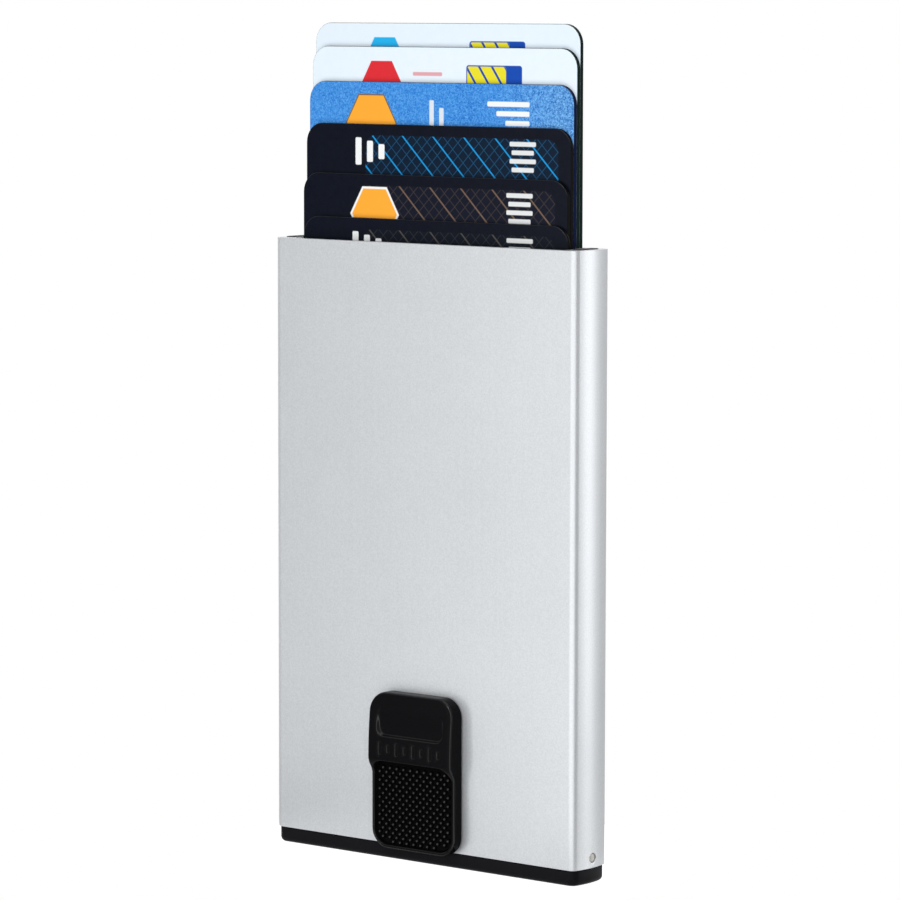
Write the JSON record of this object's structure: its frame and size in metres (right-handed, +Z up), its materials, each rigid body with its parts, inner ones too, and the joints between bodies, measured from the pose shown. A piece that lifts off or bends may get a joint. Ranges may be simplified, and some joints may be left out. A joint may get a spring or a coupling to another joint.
{
  "type": "sliding card case",
  "caption": "Slim aluminium sleeve that holds plastic cards upright, with a sprung thumb slider that turns an inner lever and fans the cards out of the open top.",
  "frame": {"origin": "middle of the flat underside of the bottom cap", "axes": "+Z up along the sleeve to its open end, -Y out of the front face that carries the slider, +X to the right seen from the front"},
  "size_m": [0.0624, 0.0121, 0.1352],
  "materials": {
    "anodised_aluminium": "fine matte bead-blasted anodising",
    "cap_plastic": "satin moulded black",
    "slider_plastic": "satin gloss moulded black",
    "grip_plastic": "glossy studded black",
    "inner_plastic": "moulded acetal",
    "steel": "plain bright steel",
    "silicone": "matte silicone",
    "card_1": "gloss laminated print, pale with dark green edge",
    "card_2": "gloss laminated print, white with dark edge",
    "card_3": "gloss laminated print, blue metallic flake",
    "card_4": "gloss laminated print, near black with blue lines",
    "card_5": "gloss laminated print, near black with bronze lines",
    "card_6": "gloss laminated print, near black"
  },
  "bodies": {
    "case": {"case_body": "anodised_aluminium", "bottom_cap": "cap_plastic", "side_pin_left": "steel", "side_pin_right": "steel", "brake_strip_left": "silicone", "brake_strip_right": "silicone", "pivot_pin": "steel", "return_spring": "steel"},
    "slider": {"slider_tab": "slider_plastic", "grip_insert": "grip_plastic", "slider_carriage": "inner_plastic", "slider_screw_1": "steel", "slider_screw_2": "steel"},
    "lever": {"lever_hub": "steel", "drive_arm": "steel", "lever_leaf_1": "steel", "lever_leaf_2": "steel", "lever_leaf_3": "steel", "lever_leaf_4": "steel", "lever_leaf_5": "steel", "lever_leaf_6": "steel"},
    "card_1": {"card_1": "card_1"},
    "card_2": {"card_2": "card_2"},
    "card_3": {"card_3": "card_3"},
    "card_4": {"card_4": "card_4"},
    "card_5": {"card_5": "card_5"},
    "card_6": {"card_6": "card_6"}
  },
  "joints": [
    {"name": "slider_slide", "type": "slide", "parent": "case", "child": "slider", "axis": [0, 0, 1], "range_m": [0, 0.0165], "stiffness_N_per_m": 40, "springref_m": -0.01},
    {"name": "lever_turn", "type": "hinge", "parent": "case", "child": "lever", "pos_m": [0.018, 0, 0.0114], "axis": [0, 1, 0], "range_deg": [0, 56], "deforming": ["return_spring"]},
    {"name": "card_1_slide", "type": "slide", "parent": "case", "child": "card_1", "axis": [0, 0, 1], "range_m": [-0.03565, 0.05165]},
    {"name": "card_2_slide", "type": "slide", "parent": "case", "child": "card_2", "axis": [0, 0, 1], "range_m": [-0.03185, 0.05545]},
    {"name": "card_3_slide", "type": "slide", "parent": "case", "child": "card_3", "axis": [0, 0, 1], "range_m": [-0.0262, 0.0611]},
    {"name": "card_4_slide", "type": "slide", "parent": "case", "child": "card_4", "axis": [0, 0, 1], "range_m": [-0.0194, 0.0679]},
    {"name": "card_5_slide", "type": "slide", "parent": "case", "child": "card_5", "axis": [0, 0, 1], "range_m": [-0.01135, 0.07595]},
    {"name": "card_6_slide", "type": "slide", "parent": "case", "child": "card_6", "axis": [0, 0, 1], "range_m": [-0.0043, 0.083]}
  ],
  "couplings": [
    {"joint": "lever_turn", "follows": "slider_slide", "rad_per_m": 59.235}
  ]
}
